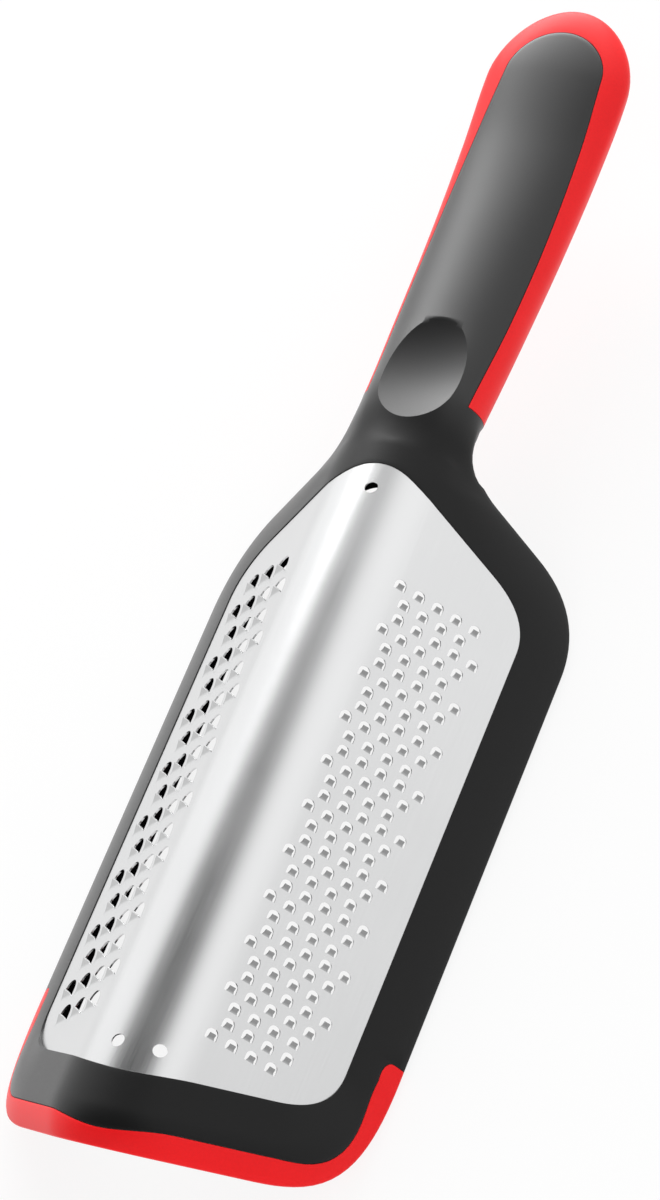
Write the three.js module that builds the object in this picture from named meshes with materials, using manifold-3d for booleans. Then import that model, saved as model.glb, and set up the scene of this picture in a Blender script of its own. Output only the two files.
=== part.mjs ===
// Two-sided hand grater: a folded steel blade in a plastic frame with a soft grip and a soft foot.
// Millimetres. While the pieces are made, y runs from the front end to the tip of the handle,
// and x = z = 0 is the line where the planes of the two grating faces meet above the ridge.
import * as THREE from 'three';
import { mergeGeometries, mergeVertices } from 'three/addons/utils/BufferGeometryUtils.js';
import Module from 'manifold-3d';

const wasm = await Module();
wasm.setup();

// Driving dimensions: roof and blade. Sizes called half are measured down the slope of a face.
// What lies ahead of or behind the steel is measured along y from its back edge, at the fold line.
const FACE_SLOPE = 45; // degrees, each face below the horizontal
const RIDGE_RADIUS = 18; // outside of the fold
const SHEET = 0.6; // thickness of the steel
const WINDOW_FRONT = 16.5; // front edge of the visible steel, at the fold line
const WINDOW_BACK = 164; // back edge of the visible steel, at the fold line
const BACK_FALL = 0.535; // how far the back edge falls towards the front per mm of x
const BLADE_TUCK = 2; // steel hidden under the frame, in plan
const WINDOW_FRONT_ROUND = 9;
const WINDOW_BACK_ROUND = 8.5;
const BACK_PEAK_ROUND = 8;

// Driving dimensions: frame
const FRONT_END = -0.45; // front end of the object, at the fold line
const FRAME_HALF = 57.6;
const FRAME_BORDER = 11.6; // frame beside the visible steel, down the slope
const FRAME_DEPTH = 5.5; // below the top of the steel
const LIP_RISE = 1.2; // frame above the steel
const EDGE_DROP = 1.1; // outer edge of the frame below the top of the steel
const CROWN_WIDTH = 11.6; // border that curves down to the outer edge
const CROWN_OVERRUN = 4.4; // the crown's curve runs on this far past the edge
const CROWN_LEAD = 3; // the crown's front line ahead of the front edge
const FRONT_ROLL = 9; // length over which the front end rolls down
const FRONT_ROLL_DROP = 1.3;
const STAND_ANGLE = 66.7; // degrees between the long axis and a board under the front end
const REST_WIDTH = 4; // flat on the lower corner of each side rail
const FRONT_CORNER_RUN = 19; // rounding of the two front corners
const SHOULDER_AHEAD = 9; // the straight side meets the slanted shoulder this far ahead of the steel's end
const SHOULDER_ROUND = 15.5;
const NECK_HALF = 20.9;
const NECK_BEHIND = 5.1; // the slanted shoulder meets the neck this far behind the steel
const NECK_ROUND = 10.8;
const NECK_LENGTH = 16; // from the steel to the end of the neck, inside the handle
const RING_INSET = 3.2; // clamp ring inside the edge of the visible steel, in plan
const RING_RECESS = 0.6; // clamp ring above the lower face of the frame
const LUG_LENGTH = 10;
const LUG_REACH = 1;
const LUG_HEIGHT = 1.6;
const LUG_DEPTH = 3; // middle of a lug below the top of the steel
const LUG_COUNT = 3; // on each side
const GAP = 0.3; // between any two pieces

// Driving dimensions: foot
const FOOT_BAND = 6.1; // along y
const FOOT_NOSE = 1.6; // the band is this much narrower over the ridge
const FOOT_STRIP = 5.1; // width of the strip up each side of the frame
const FOOT_STRIP_DEPTH = 1.8; // of the strip, below the top of the steel
const FOOT_WRAP = 2; // soft material round the outer edge
const FOOT_REACH = 46.6; // end of the side strips
const FOOT_INNER_ROUND = 7;
const FOOT_END_ROUND = 2.2;
const TONGUE_LENGTH = 3.4;
const TONGUE_TOP = 1.7; // below the top of the steel
const TONGUE_THICKNESS = 2;
const TONGUE_HALF = 38;

// Driving dimensions: handle. Each section has its place behind the steel, its half width and the
// levels of its middle, top and base.
const HANDLE_SECTIONS = [
  { behind: 3, half: 12.6, middle: -13.6, top: -6.4, base: -15 },
  { behind: 18, half: 13.5, middle: -16.2, top: -6.4, base: -23.6 },
  { behind: 36, half: 14.1, middle: -16.5, top: -7.8, base: -25.6 },
  { behind: 61, half: 14.9, middle: -16.7, top: -8.8, base: -26.4 },
  { behind: 84, half: 15.7, middle: -15.5, top: -9.1, base: -25.6 },
  { behind: 102, half: 16.2, middle: -13.4, top: -8.3, base: -22.6 },
  { behind: 120, half: 15, middle: -10.8, top: -7.2, base: -18 },
];
const TIP_ROUND = 18; // length of the rounded end
const TIP_BLUNTNESS = 0.6; // 1 rounds the end evenly, less keeps it thick
const GRIP_BEHIND = 17; // start of the soft grip
const INSERT_START_HALF = 11.3; // hard top of the handle, half its width
const INSERT_HALF = 12.5;
const INSERT_END_HALF = 12;
const INSERT_SWELL = 0.5; // how far the sides bulge towards the nose
const INSERT_NOSE_LENGTH = 26.5; // rounded end of the hard top
const INSERT_NOSE = 9.8; // fullness of the rounded end
const NOSE_PULL = 0.75; // how far the nose runs on before it turns
const TIP_RIM = 7.5; // soft rim beyond the hard top
const GRIP_FLOOR = 4.5; // soft material under the core
const DIMPLE_BEHIND = 23; // middle of the thumb hollow
const DIMPLE_LENGTH = 26.5;
const DIMPLE_WIDTH = 44; // width of the full hollow, which the rounded top narrows
const DIMPLE_DEPTH = 2.6;
const DIMPLE_LIFT = 6; // centre of the hollow above the handle

// Driving dimensions: teeth. The first row leaves the sheet this far ahead of the steel's back edge.
const FINE = {
  side: 1,
  width: 2.8,
  length: 2.5,
  rise: 0.8,
  reach: 0.85,
  base: 2.1,
  firstAhead: 27.5,
  rowPitch: 3.494,
  pitch: 4.596,
  firstColumn: 17.5,
  rows: [
    { shift: 0, count: 5 },
    { shift: 0.5, count: 4 },
    { shift: 0.5, count: 5 },
  ],
  rowCount: 31,
  frontMargin: 4.2,
  cornerMargin: 18,
  arcPoints: 3,
};
const COARSE = {
  side: -1,
  width: 4.4,
  length: 4.6,
  rise: 1.3,
  reach: 1.3,
  base: 4,
  firstAhead: 26.8,
  rowPitch: 6.463,
  pitch: 6.795,
  firstColumn: 18.95,
  rows: [
    { shift: 0.5, count: 3 },
    { shift: 0, count: 4 },
  ],
  rowCount: 17,
  frontMargin: 4.2,
  cornerMargin: 14,
  arcPoints: 4,
};
const TOOTH_THICKNESS = 0.5;
const TOOTH_ROOT = 0.3; // part of a tooth inside the sheet
const SIDE_MARGIN = 3; // between a tooth hole and the frame
const PIN_HOLE_RADIUS = 1.4;
const BACK_PIN_AHEAD = 7.8; // hole at the back of the ridge
const FRONT_PIN_INSET = 8.8; // pair of holes behind the steel's front edge
const FRONT_PIN_LEFT = 3.4;
const FRONT_PIN_RIGHT = 5.5;
const PIN_HOLE_SIDES = 12;

// Fineness of the curves
const CURVE_STEPS = 6;
const CROWN_STEPS = 5;
const ROLL_STEPS = 4;
const HANDLE_SIDES = 32;
const HANDLE_STEPS = 14;
const TIP_STEPS = 6;
const DIMPLE_SIDES = 32;
const DIMPLE_RINGS = 20;
const TIP_LAST_ANGLE = 86; // degrees round the tip at its last ring

// Values worked out from the driving dimensions
const REACH_PAST = 12; // cutting shapes run this far past what they cut
const slope = THREE.MathUtils.degToRad(FACE_SLOPE);
const ridgeCentre = -RIDGE_RADIUS / Math.cos(slope);
const frontSlant = 1 / Math.tan(THREE.MathUtils.degToRad(STAND_ANGLE)); // y lost per mm of height
const frontRise = frontSlant * Math.sin(slope); // y gained per mm down the slope of a face
const frontFall = frontSlant * Math.tan(slope); // y gained per mm of x
const lowestCorner = -FRAME_HALF * Math.sin(slope) - FRAME_DEPTH * Math.cos(slope);
const restLevel = lowestCorner + REST_WIDTH * Math.sin(slope) * Math.cos(slope);
const windowHalf = FRAME_HALF - FRAME_BORDER; // visible steel, from the fold line to its side edge
const windowX = windowHalf * Math.cos(slope);
const neckEnd = WINDOW_BACK + NECK_LENGTH;
const gripStart = WINDOW_BACK + GRIP_BEHIND;
const tip = WINDOW_BACK + HANDLE_SECTIONS[HANDLE_SECTIONS.length - 1].behind;
const insertEnd = tip - TIP_RIM;
const insertStraightEnd = insertEnd - INSERT_NOSE_LENGTH;
const ridgeTop = ridgeCentre + RIDGE_RADIUS + LIP_RISE;
const bandEnd = FRONT_END + FOOT_BAND;

// Point on a cross-section of the roof: s down the slope, n out of the face.
function roofPoint(side, s, n) {
  const x = side * (s * Math.cos(slope) + n * Math.sin(slope));
  return new THREE.Vector2(x, n * Math.cos(slope) - s * Math.sin(slope));
}

function roofArc(shape, n, fromLeft) {
  const left = Math.PI / 2 + slope;
  const right = Math.PI / 2 - slope;
  const start = fromLeft ? left : right;
  const end = fromLeft ? right : left;
  shape.absarc(0, ridgeCentre, RIDGE_RADIUS + n, start, end, fromLeft);
}

// Cross-section of a folded layer of even thickness.
function layerSection(half, top, bottom) {
  const shape = new THREE.Shape();
  shape.moveTo(...roofPoint(-1, half, bottom));
  shape.lineTo(...roofPoint(-1, half, top));
  roofArc(shape, top, true);
  shape.lineTo(...roofPoint(1, half, top));
  shape.lineTo(...roofPoint(1, half, bottom));
  roofArc(shape, bottom, false);
  shape.closePath();
  return shape;
}

// Closed outline whose corners are rounded by the run given with each corner.
function roundedOutline(corners) {
  const shape = new THREE.Shape();
  corners.forEach((corner, index) => {
    const point = new THREE.Vector2(corner.x, corner.y);
    const before = corners[(index + corners.length - 1) % corners.length];
    const after = corners[(index + 1) % corners.length];
    const enter = new THREE.Vector2(before.x, before.y).sub(point).setLength(corner.run).add(point);
    const leave = new THREE.Vector2(after.x, after.y).sub(point).setLength(corner.run).add(point);
    if (index === 0) {
      shape.moveTo(...enter);
    } else {
      shape.lineTo(...enter);
    }
    if (corner.run > 0) {
      shape.quadraticCurveTo(...point, ...leave);
    }
  });
  shape.closePath();
  return shape;
}

// Plan of the visible steel, grown outwards by a margin.
function windowPlan(margin) {
  const x = windowX + margin;
  const front = WINDOW_FRONT - margin * Math.hypot(1, frontFall);
  const back = WINDOW_BACK + margin * Math.hypot(1, BACK_FALL);
  const ridgeRun = RIDGE_RADIUS * Math.sin(slope);
  return roundedOutline([
    { x: 0, y: front, run: ridgeRun },
    { x, y: front + frontFall * x, run: WINDOW_FRONT_ROUND },
    { x, y: back - BACK_FALL * x, run: WINDOW_BACK_ROUND },
    { x: 0, y: back, run: BACK_PEAK_ROUND },
    { x: -x, y: back - BACK_FALL * x, run: WINDOW_BACK_ROUND },
    { x: -x, y: front + frontFall * x, run: WINDOW_FRONT_ROUND },
  ]);
}

function extrude(shape, depth) {
  return new THREE.ExtrudeGeometry(shape, { depth, bevelEnabled: false, curveSegments: CURVE_STEPS });
}

// Section in x and z, drawn along y.
function alongY(shape, from, to) {
  return extrude(shape, to - from).rotateX(Math.PI / 2).translate(0, to, 0);
}

// Plan in x and y, drawn up z.
function alongZ(shape, from, to) {
  return extrude(shape, to - from).translate(0, 0, from);
}

// Places what is drawn with x = side * s, y and z = n on one grating face.
function faceMatrix(side) {
  return new THREE.Matrix4().makeBasis(
    new THREE.Vector3(Math.cos(slope), 0, -side * Math.sin(slope)),
    new THREE.Vector3(0, 1, 0),
    new THREE.Vector3(side * Math.sin(slope), 0, Math.cos(slope)),
  );
}

// Outline on one face, cut down to a depth below the top of the steel.
function intoFace(shape, side, depth) {
  return solid(extrude(shape, depth + REACH_PAST).translate(0, 0, -depth).applyMatrix4(faceMatrix(side)));
}

function box(low, high) {
  const size = high.clone().sub(low);
  const middle = high.clone().add(low).multiplyScalar(0.5);
  return new THREE.BoxGeometry(size.x, size.y, size.z).translate(middle.x, middle.y, middle.z);
}

// Closed geometry to solid and back.
function solid(geometry) {
  const bare = geometry.index ? geometry.toNonIndexed() : geometry.clone();
  bare.deleteAttribute('normal');
  bare.deleteAttribute('uv');
  const merged = mergeVertices(bare, 1e-4);
  const mesh = new wasm.Mesh({
    numProp: 3,
    vertProperties: new Float32Array(merged.attributes.position.array),
    triVerts: new Uint32Array(merged.index.array),
  });
  mesh.merge();
  return new wasm.Manifold(mesh);
}

function geometryOf(body) {
  const mesh = body.getMesh();
  const geometry = new THREE.BufferGeometry();
  geometry.setAttribute('position', new THREE.BufferAttribute(mesh.vertProperties, 3));
  geometry.setIndex(new THREE.BufferAttribute(mesh.triVerts, 1));
  return geometry;
}

// Leans a plan that was drawn up z, so that its walls follow the slant of the front end.
function leaned(shape) {
  const level = FRAME_HALF + REACH_PAST;
  const lean = new THREE.Matrix4().makeShear(0, 0, 0, 0, 0, -frontSlant);
  return alongZ(shape, -level, level).applyMatrix4(lean);
}

// Space ahead of the slanted front plane that meets the fold line at y. Over the ridge a nose
// can hold it back.
function aheadOf(y, nose = 0) {
  const wide = FRAME_HALF + REACH_PAST;
  const ahead = y - wide;
  const ridgeRun = RIDGE_RADIUS * Math.sin(slope);
  const shape = new THREE.Shape();
  shape.moveTo(-wide, ahead);
  shape.lineTo(wide, ahead);
  shape.lineTo(wide, y);
  if (nose > 0) {
    shape.lineTo(ridgeRun, y);
    shape.bezierCurveTo(ridgeRun / 2, y, ridgeRun / 2, y - nose, 0, y - nose);
    shape.bezierCurveTo(-ridgeRun / 2, y - nose, -ridgeRun / 2, y, -ridgeRun, y);
  }
  shape.lineTo(-wide, y);
  shape.closePath();
  return solid(leaned(shape));
}

// Outline of the head on one face: front corner, straight side, slanted shoulder and neck.
// It runs on across the fold line, and its front line can lead the front edge.
function headOutline(side, lead) {
  const across = NECK_HALF + CROWN_WIDTH + CROWN_OVERRUN;
  const far = neckEnd + 2 * (CROWN_WIDTH + CROWN_OVERRUN);
  const front = FRONT_END - lead;
  return roundedOutline([
    { x: side * FRAME_HALF, y: front + frontRise * FRAME_HALF, run: FRONT_CORNER_RUN + lead },
    { x: side * FRAME_HALF, y: WINDOW_BACK - SHOULDER_AHEAD, run: SHOULDER_ROUND },
    { x: side * NECK_HALF, y: WINDOW_BACK + NECK_BEHIND, run: NECK_ROUND },
    { x: side * NECK_HALF, y: far, run: 0 },
    { x: -side * across, y: far, run: 0 },
    { x: -side * across, y: front - frontRise * across, run: 0 },
  ]);
}

// Prism square to one face that holds the whole head, crowned down to the head's outline.
function crowned(side) {
  const reach = CROWN_WIDTH + CROWN_OVERRUN;
  const edge = Math.sqrt(1 - (CROWN_WIDTH / reach) ** 2);
  const height = (LIP_RISE + EDGE_DROP) / (1 - edge);
  const depth = 2 * FRAME_HALF;
  const geometry = new THREE.ExtrudeGeometry(headOutline(side, CROWN_LEAD), {
    depth,
    bevelEnabled: true,
    bevelThickness: height,
    bevelSize: reach,
    bevelOffset: CROWN_OVERRUN - reach,
    bevelSegments: CROWN_STEPS,
    curveSegments: CURVE_STEPS,
  });
  geometry.translate(0, 0, LIP_RISE - height - depth).applyMatrix4(faceMatrix(side));
  return solid(geometry);
}

// Prism square to one face inside the head's outline.
function outlined(side) {
  return intoFace(headOutline(side, 0), side, 2 * FRAME_HALF);
}

// The roof as a filled block whose front end rolls down to a softer edge.
function rolledRoof() {
  const half = FRAME_HALF + REACH_PAST;
  const far = neckEnd + REACH_PAST;
  const base = -half * Math.sin(slope) - REACH_PAST;
  const shape = new THREE.Shape();
  shape.moveTo(roofPoint(-1, half, LIP_RISE).x, base);
  shape.lineTo(...roofPoint(-1, half, LIP_RISE));
  roofArc(shape, LIP_RISE, true);
  shape.lineTo(...roofPoint(1, half, LIP_RISE));
  shape.lineTo(roofPoint(1, half, LIP_RISE).x, base);
  shape.closePath();
  const rings = ROLL_STEPS + 1;
  const geometry = new THREE.ExtrudeGeometry(shape, {
    depth: rings,
    steps: rings,
    bevelEnabled: false,
    curveSegments: CURVE_STEPS,
  });
  const position = geometry.attributes.position;
  for (let index = 0; index < position.count; index += 1) {
    const ring = Math.round(position.getZ(index));
    const along = ring > ROLL_STEPS ? far : (FRONT_ROLL * ring) / ROLL_STEPS;
    const left = Math.max(0, 1 - along / FRONT_ROLL);
    const z = position.getY(index) - FRONT_ROLL_DROP * left ** 2;
    position.setXYZ(index, -position.getX(index), FRONT_END + along - frontSlant * z, z);
  }
  return solid(geometry);
}

// Region that the foot takes from the head: the band along the front and, up each side,
// a strip let into the frame that wraps round its outer edge.
function footRegion(margin) {
  const outer = FRAME_HALF + REACH_PAST;
  const strip = (side, width) => {
    const inner = FRAME_HALF - width - margin;
    const bandEdge = bandEnd + margin + frontRise * inner;
    return roundedOutline([
      { x: side * inner, y: bandEdge, run: FOOT_INNER_ROUND },
      { x: side * (inner - REACH_PAST), y: bandEdge - frontRise * REACH_PAST, run: 0 },
      { x: side * (inner - REACH_PAST), y: 0, run: 0 },
      { x: side * outer, y: 0, run: 0 },
      { x: side * outer, y: FOOT_REACH + margin, run: 0 },
      { x: side * inner, y: FOOT_REACH + margin, run: Math.min(FOOT_END_ROUND, width) },
    ]);
  };
  return [1, -1].reduce(
    (region, side) =>
      region
        .add(intoFace(strip(side, FOOT_STRIP), side, FOOT_STRIP_DEPTH + margin))
        .add(intoFace(strip(side, FOOT_WRAP), side, FRAME_DEPTH + REACH_PAST)),
    aheadOf(bandEnd + margin, FOOT_NOSE),
  );
}

function layer(half, top, bottom) {
  return solid(alongY(layerSection(half, top, bottom), -REACH_PAST, neckEnd));
}

function planCut(margin) {
  return solid(alongZ(windowPlan(margin), lowestCorner - REACH_PAST, REACH_PAST));
}

// Folded layer inside the frame's rebate.
function tucked(top, bottom) {
  return layer(FRAME_HALF, top, bottom).intersect(planCut(BLADE_TUCK));
}

// Tongue of the frame that keys the foot, or the groove for it when grown by a margin.
function tongue(margin) {
  const top = -TONGUE_TOP + margin;
  const bottom = -TONGUE_TOP - TONGUE_THICKNESS - margin;
  return layer(TONGUE_HALF + margin, top, bottom)
    .intersect(aheadOf(bandEnd + TONGUE_LENGTH))
    .subtract(aheadOf(bandEnd - TONGUE_LENGTH - margin));
}

// Snap lugs on the clamp ring's outer walls, or their recesses when grown by a margin.
function lugs(margin) {
  const wall = windowX + BLADE_TUCK;
  const level = -(wall * Math.sin(slope) + LUG_DEPTH) / Math.cos(slope);
  const first = FOOT_REACH + LUG_LENGTH;
  const sideEnd = WINDOW_BACK - BACK_FALL * windowX - WINDOW_BACK_ROUND;
  const step = (sideEnd - LUG_LENGTH - first) / (LUG_COUNT - 1);
  const parts = [];
  for (let index = 0; index < LUG_COUNT; index += 1) {
    const y = first + index * step;
    for (const side of [1, -1]) {
      const near = side * (wall - LUG_REACH - margin);
      const far = side * (wall + LUG_REACH + margin);
      const low = new THREE.Vector3(
        Math.min(near, far),
        y - LUG_LENGTH / 2 - margin,
        level - LUG_HEIGHT / 2 - margin,
      );
      const high = new THREE.Vector3(
        Math.max(near, far),
        y + LUG_LENGTH / 2 + margin,
        level + LUG_HEIGHT / 2 + margin,
      );
      parts.push(box(low, high));
    }
  }
  return solid(mergeGeometries(parts));
}

// Handle: a cylinder warped onto the handle's sections and closed by a rounded tip.
// Its top and its base can be raised, which gives the room that the core takes.
function handleSolid(topLift, baseLift) {
  const places = HANDLE_SECTIONS.map((section) => WINDOW_BACK + section.behind);
  const values = HANDLE_SECTIONS.flatMap(({ half, middle, top, base }) => [
    half,
    middle,
    top + topLift,
    base + baseLift,
  ]);
  const between = new THREE.CubicInterpolant(places, values, 4, new Float32Array(4));
  const start = places[0];
  const roundStart = tip - TIP_ROUND;
  const lastAngle = THREE.MathUtils.degToRad(TIP_LAST_ANGLE);
  const steps = HANDLE_STEPS + TIP_STEPS;
  const geometry = new THREE.CylinderGeometry(1, 1, steps, HANDLE_SIDES, steps);
  const position = geometry.attributes.position;
  for (let index = 0; index < position.count; index += 1) {
    const step = Math.round(position.getY(index) + steps / 2);
    const turn = (Math.max(0, step - HANDLE_STEPS) / TIP_STEPS) * lastAngle;
    const straight = Math.min(1, step / HANDLE_STEPS);
    const y = start + (roundStart - start) * straight + TIP_ROUND * Math.sin(turn);
    const [half, middle, top, base] = between.evaluate(y);
    const across = position.getX(index) * Math.cos(turn);
    const up = position.getZ(index) * Math.cos(turn) ** TIP_BLUNTNESS;
    const height = up > 0 ? top - middle : middle - base;
    position.setXYZ(index, half * across, y, middle + height * up);
  }
  return solid(geometry);
}

// Plan of the handle's hard top.
function insertPlan(margin) {
  const start = gripStart - REACH_PAST;
  const end = insertEnd + margin;
  const startHalf = INSERT_START_HALF + margin;
  const half = INSERT_HALF + margin;
  const endHalf = INSERT_END_HALF + margin;
  const sidePull = (insertStraightEnd - gripStart) / 3;
  const noseStart = insertStraightEnd + NOSE_PULL * INSERT_NOSE_LENGTH;
  const shape = new THREE.Shape();
  shape.moveTo(startHalf, start);
  shape.lineTo(startHalf, gripStart);
  shape.bezierCurveTo(
    half,
    gripStart + sidePull,
    half + INSERT_SWELL,
    insertStraightEnd - sidePull,
    endHalf,
    insertStraightEnd,
  );
  shape.bezierCurveTo(endHalf, noseStart, INSERT_NOSE + margin, end, 0, end);
  shape.bezierCurveTo(
    -INSERT_NOSE - margin,
    end,
    -endHalf,
    noseStart,
    -endHalf,
    insertStraightEnd,
  );
  shape.bezierCurveTo(
    -half - INSERT_SWELL,
    insertStraightEnd - sidePull,
    -half,
    gripStart + sidePull,
    -startHalf,
    gripStart,
  );
  shape.lineTo(-startHalf, start);
  shape.closePath();
  return shape;
}

// Room for the hard top and the core under it.
function insertCut(margin) {
  const plan = solid(alongZ(insertPlan(margin), lowestCorner, REACH_PAST));
  return plan.intersect(handleSolid(REACH_PAST, GRIP_FLOOR - margin));
}

// Region of the handle that the soft grip takes.
function gripRegion(margin) {
  const low = new THREE.Vector3(-FRAME_HALF, gripStart + margin, lowestCorner - REACH_PAST);
  const high = new THREE.Vector3(FRAME_HALF, tip + REACH_PAST, REACH_PAST / 2);
  return solid(box(low, high)).subtract(insertCut(margin));
}

function dimple() {
  const section = HANDLE_SECTIONS[1];
  const up = DIMPLE_LIFT + DIMPLE_DEPTH;
  const rim = Math.sqrt(1 - (DIMPLE_LIFT / up) ** 2);
  const ball = new THREE.SphereGeometry(1, DIMPLE_SIDES, DIMPLE_RINGS);
  ball.scale(DIMPLE_WIDTH / 2, DIMPLE_LENGTH / 2 / rim, up);
  return solid(ball.translate(0, WINDOW_BACK + DIMPLE_BEHIND, section.top + DIMPLE_LIFT));
}

// Teeth of one face, as places where a tooth leaves the sheet.
function toothPlaces(kind) {
  const flat = RIDGE_RADIUS * Math.tan(slope);
  const places = [];
  for (let row = 0; row < kind.rowCount; row += 1) {
    const y = WINDOW_BACK - kind.firstAhead - row * kind.rowPitch;
    const { shift, count } = kind.rows[row % kind.rows.length];
    for (let column = 0; column < count; column += 1) {
      const s = kind.firstColumn + (column + shift) * kind.pitch;
      const fromFront = y - WINDOW_FRONT - frontRise * s;
      const fromSide = windowHalf - s;
      const back = WINDOW_BACK - BACK_FALL * s * Math.cos(slope);
      const onFlat = s + kind.width / 2 > flat;
      const clearOfFront = fromFront > kind.frontMargin && fromFront + fromSide > kind.cornerMargin;
      const clearOfSide = fromSide - kind.width / 2 > SIDE_MARGIN;
      const clearOfBack = y + kind.length < back - SIDE_MARGIN;
      if (onFlat && clearOfFront && clearOfSide && clearOfBack) {
        places.push({ s, y });
      }
    }
  }
  return places;
}

// Hole under a tooth: square where the tooth leaves the sheet, round at its other end.
function toothHole(kind, place) {
  const half = kind.width / 2;
  const centre = place.y + kind.length - half;
  const shape = new THREE.Shape();
  shape.moveTo(kind.side * place.s - half, place.y);
  shape.lineTo(kind.side * place.s + half, place.y);
  for (let step = 0; step <= kind.arcPoints; step += 1) {
    const angle = (Math.PI * step) / kind.arcPoints;
    shape.lineTo(kind.side * place.s + half * Math.cos(angle), centre + half * Math.sin(angle));
  }
  shape.closePath();
  return shape;
}

function toothHoles(kind) {
  const shapes = toothPlaces(kind).map((place) => toothHole(kind, place));
  const depth = 2 * REACH_PAST;
  const cut = extrude(shapes, depth).translate(0, 0, -REACH_PAST);
  return solid(cut.applyMatrix4(faceMatrix(kind.side)));
}

// Pointed teeth that rise out of the face towards the handle.
function teeth(kind) {
  const length = Math.hypot(kind.rise, kind.reach);
  const tooth = new THREE.Shape();
  tooth.moveTo(-kind.base / 2, -TOOTH_ROOT);
  tooth.lineTo(kind.base / 2, -TOOTH_ROOT);
  tooth.lineTo(0, length);
  tooth.closePath();
  const blank = extrude(tooth, TOOTH_THICKNESS).translate(0, 0, -TOOTH_THICKNESS);
  blank.rotateX(Math.atan2(kind.rise, kind.reach));
  const copies = toothPlaces(kind).map(({ s, y }) => blank.clone().translate(kind.side * s, y, 0));
  return solid(mergeGeometries(copies).applyMatrix4(faceMatrix(kind.side)));
}

function pinHoles() {
  const deep = RIDGE_RADIUS;
  const front = WINDOW_FRONT + FRONT_PIN_INSET;
  const places = [
    { x: 0, y: WINDOW_BACK - BACK_PIN_AHEAD },
    { x: -FRONT_PIN_LEFT, y: front },
    { x: FRONT_PIN_RIGHT, y: front },
  ];
  const holes = places.map(({ x, y }) =>
    new THREE.CylinderGeometry(PIN_HOLE_RADIUS, PIN_HOLE_RADIUS, deep, PIN_HOLE_SIDES)
      .rotateX(Math.PI / 2)
      .translate(x, y, ridgeTop),
  );
  return solid(mergeGeometries(holes));
}

// Window in the frame's lip, square to one face.
function lipWindow(side) {
  const onFace = alongZ(windowPlan(0), 0, REACH_PAST).scale(1 / Math.cos(slope), 1, 1);
  return solid(onFace.applyMatrix4(faceMatrix(side)));
}

// Pieces
const head = rolledRoof()
  .intersect(layer(FRAME_HALF + REACH_PAST, LIP_RISE + REACH_PAST, -FRAME_DEPTH))
  .intersect(crowned(1))
  .intersect(crowned(-1))
  .intersect(outlined(1))
  .intersect(outlined(-1))
  .subtract(aheadOf(FRONT_END))
  .subtract(
    solid(
      box(
        new THREE.Vector3(-FRAME_HALF, -REACH_PAST, lowestCorner - REACH_PAST),
        new THREE.Vector3(FRAME_HALF, tip, restLevel),
      ),
    ),
  );
const handle = handleSolid(0, 0);

function gratingBlade() {
  return tucked(0, -SHEET)
    .subtract(toothHoles(FINE))
    .subtract(toothHoles(COARSE))
    .subtract(pinHoles())
    .add(teeth(FINE))
    .add(teeth(COARSE));
}

function upperFrame() {
  const rebate = layer(FRAME_HALF + REACH_PAST, GAP, -FRAME_DEPTH - REACH_PAST / 2);
  const pocket = rebate.intersect(planCut(BLADE_TUCK + GAP));
  return head
    .subtract(footRegion(GAP))
    .subtract(planCut(0))
    .subtract(lipWindow(1))
    .subtract(lipWindow(-1))
    .subtract(pocket)
    .subtract(lugs(GAP))
    .add(tongue(0))
    .add(handle.subtract(gripRegion(0)))
    .subtract(dimple());
}

function clampRing() {
  return tucked(-SHEET - GAP, -FRAME_DEPTH + RING_RECESS)
    .subtract(planCut(-RING_INSET))
    .add(lugs(0));
}

function handleGrip() {
  return handle.intersect(gripRegion(GAP));
}

function frontFoot() {
  return head.intersect(footRegion(0)).subtract(tongue(GAP));
}

const steel = { color: 0xc9ccd0, roughness: 0.28, metalness: 1 };
const hardBlack = { color: 0x1d1d1f, roughness: 0.55, metalness: 0 };
const softRed = { color: 0xe02126, roughness: 0.6, metalness: 0 };

const grater = new THREE.Group();
for (const [name, body, finish] of [
  ['grating_blade', gratingBlade(), steel],
  ['upper_frame', upperFrame(), hardBlack],
  ['clamp_ring', clampRing(), hardBlack],
  ['handle_grip', handleGrip(), softRed],
  ['front_foot', frontFoot(), softRed],
]) {
  const mesh = new THREE.Mesh(geometryOf(body), new THREE.MeshStandardMaterial(finish));
  mesh.name = name;
  grater.add(mesh);
}

// The origin is under the middle of the object, on the surface that its rails rest on.
const bounds = new THREE.Box3().setFromObject(grater);
grater.position.set(0, -(bounds.min.y + bounds.max.y) / 2, -restLevel);

export default grater;
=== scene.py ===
import math
from contextlib import contextmanager
from dataclasses import dataclass

import bmesh
import bpy
from bpy.props import FloatProperty, FloatVectorProperty, PointerProperty
from mathutils import Matrix, Vector


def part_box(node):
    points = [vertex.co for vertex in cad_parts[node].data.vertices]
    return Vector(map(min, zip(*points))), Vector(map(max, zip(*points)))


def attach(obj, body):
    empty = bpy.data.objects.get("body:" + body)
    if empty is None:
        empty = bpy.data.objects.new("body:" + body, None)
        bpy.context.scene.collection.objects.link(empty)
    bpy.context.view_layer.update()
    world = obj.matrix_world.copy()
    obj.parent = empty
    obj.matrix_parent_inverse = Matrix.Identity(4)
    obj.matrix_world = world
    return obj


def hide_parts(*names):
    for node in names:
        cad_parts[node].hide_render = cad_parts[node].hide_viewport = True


bl_info = {
    "name": "Hand grater",
    "version": (1, 0, 0),
    "blender": (4, 5, 0),
    "location": "View3D > Sidebar > Grater",
    "description": "Two-sided hand grater: folded steel blade, black frame, soft red grip and foot",
    "category": "Object",
}

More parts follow.
